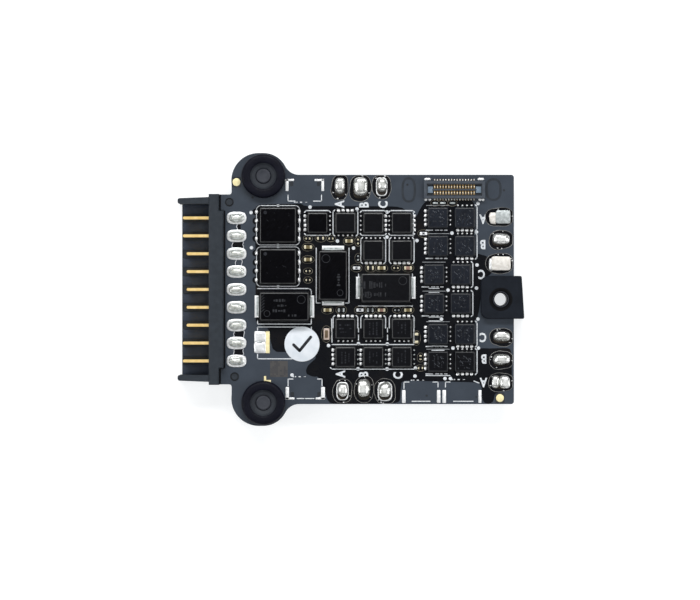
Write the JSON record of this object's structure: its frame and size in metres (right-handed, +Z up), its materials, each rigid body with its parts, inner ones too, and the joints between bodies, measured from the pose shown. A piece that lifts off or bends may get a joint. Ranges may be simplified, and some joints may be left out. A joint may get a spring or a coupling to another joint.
{
  "type": "electronic speed controller",
  "caption": "Flat motor speed controller board with an edge blade connector, rubber mounting grommets, an edge damper, bridge transistors and bulk capacitors.",
  "frame": {"origin": "middle of the whole footprint, on the plane under the grommets, the edge damper and the connector housing", "axes": "+X from the battery connector to the free edge, +Y across the board, +Z up out of the component side"},
  "size_m": [0.0492, 0.0388, 0.006],
  "materials": {
    "board_laminate": "satin dark slate solder mask over glass laminate",
    "connector_plastic": "fine matte moulded nylon, black-grey",
    "gold_contacts": "bright gold plating",
    "solder": "bright tin solder, softly mottled",
    "rubber": "soft black silicone rubber",
    "sleeve_metal": "blackened metal",
    "chip_mould": "fine-grained epoxy mould compound",
    "capacitor_mould": "moulded epoxy with satin bevels",
    "ceramic": "sintered ceramic with tinned ends",
    "resistor_body": "glazed thick film with tinned ends",
    "label_paper": "matte white film",
    "connector_ends": "tinned solder clips"
  },
  "bodies": {
    "root": {"circuit_board": "board_laminate", "battery_connector_housing": "connector_plastic", "board_connector_housing": "connector_plastic", "battery_blade_1": "gold_contacts", "battery_blade_2": "gold_contacts", "battery_blade_3": "gold_contacts", "battery_blade_4": "gold_contacts", "battery_blade_5": "gold_contacts", "battery_blade_6": "gold_contacts", "battery_blade_7": "gold_contacts", "battery_blade_8": "gold_contacts", "battery_blade_9": "gold_contacts", "board_connector_contacts": "gold_contacts", "blade_solder_joints": "solder", "motor_1_wire_pads": "solder", "motor_2_wire_pads": "solder", "motor_3_wire_pads": "solder", "motor_4_wire_pads": "solder", "spare_capacitor_pad": "solder", "upper_grommet": "rubber", "lower_grommet": "rubber", "edge_damper": "rubber", "edge_damper_sleeve": "sleeve_metal", "motor_1_transistor_1": "chip_mould", "motor_1_transistor_2": "chip_mould", "motor_1_transistor_3": "chip_mould", "motor_1_transistor_4": "chip_mould", "motor_1_transistor_5": "chip_mould", "motor_1_transistor_6": "chip_mould", "motor_2_transistor_1": "chip_mould", "motor_2_transistor_2": "chip_mould", "motor_2_transistor_3": "chip_mould", "motor_2_transistor_4": "chip_mould", "motor_2_transistor_5": "chip_mould", "motor_2_transistor_6": "chip_mould", "motor_3_transistor_1": "chip_mould", "motor_3_transistor_2": "chip_mould", "motor_3_transistor_3": "chip_mould", "motor_3_transistor_4": "chip_mould", "motor_3_transistor_5": "chip_mould", "motor_3_transistor_6": "chip_mould", "motor_4_transistor_1": "chip_mould", "motor_4_transistor_2": "chip_mould", "motor_4_transistor_3": "chip_mould", "motor_4_transistor_4": "chip_mould", "motor_4_transistor_5": "chip_mould", "motor_4_transistor_6": "chip_mould", "power_switch_1": "chip_mould", "power_switch_2": "chip_mould", "motor_controllers": "chip_mould", "gate_drivers": "chip_mould", "voltage_regulator": "chip_mould", "bulk_capacitor_1": "capacitor_mould", "bulk_capacitor_2": "capacitor_mould", "bulk_capacitor_3": "capacitor_mould", "ceramic_capacitors": "ceramic", "chip_resistors": "resistor_body", "current_shunts": "resistor_body", "inspection_label": "label_paper", "board_connector_clips": "connector_ends"}
  },
  "joints": []
}
